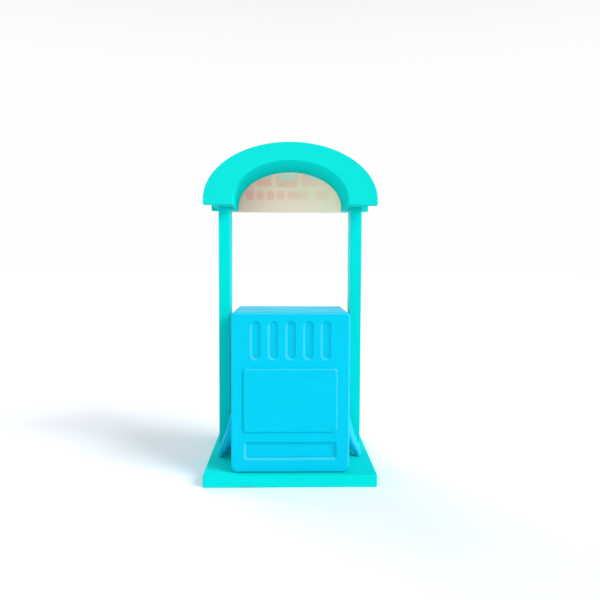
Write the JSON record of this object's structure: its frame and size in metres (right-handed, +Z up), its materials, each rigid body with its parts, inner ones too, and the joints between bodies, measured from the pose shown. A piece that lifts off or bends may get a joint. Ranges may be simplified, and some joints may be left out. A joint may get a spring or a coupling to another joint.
{
  "type": "headphone stand",
  "caption": "Desk stand for headphones: a square base with two posts, an arched channelled saddle with a D-shaped sign, and a console-shaped box standing on the base.",
  "frame": {"origin": "middle of the underside of the base plate", "axes": "+Z up; -Y is the side that the console's vents and cover face; the sign and the console's front panel face +Y; X runs across the two posts"},
  "size_m": [0.105, 0.1, 0.2004],
  "materials": {
    "teal_plastic": "3D-printed satin plastic with fine layer lines",
    "blue_plastic": "3D-printed satin plastic with fine layer lines",
    "cream_sheet": "thin translucent sheet with a faint pattern on its far side"
  },
  "bodies": {
    "stand": {"base_plate": "teal_plastic", "post_left": "teal_plastic", "post_right": "teal_plastic", "saddle_arch": "teal_plastic", "sign_panel": "cream_sheet"},
    "console": {"console_shell": "blue_plastic", "console_front_panel": "blue_plastic", "console_cover": "blue_plastic", "strut_left": "blue_plastic", "strut_right": "blue_plastic"}
  },
  "joints": [
    {"name": "console_slide", "type": "slide", "parent": "stand", "child": "console", "axis": [0, -1, 0], "range_m": [0, 0.065]}
  ]
}
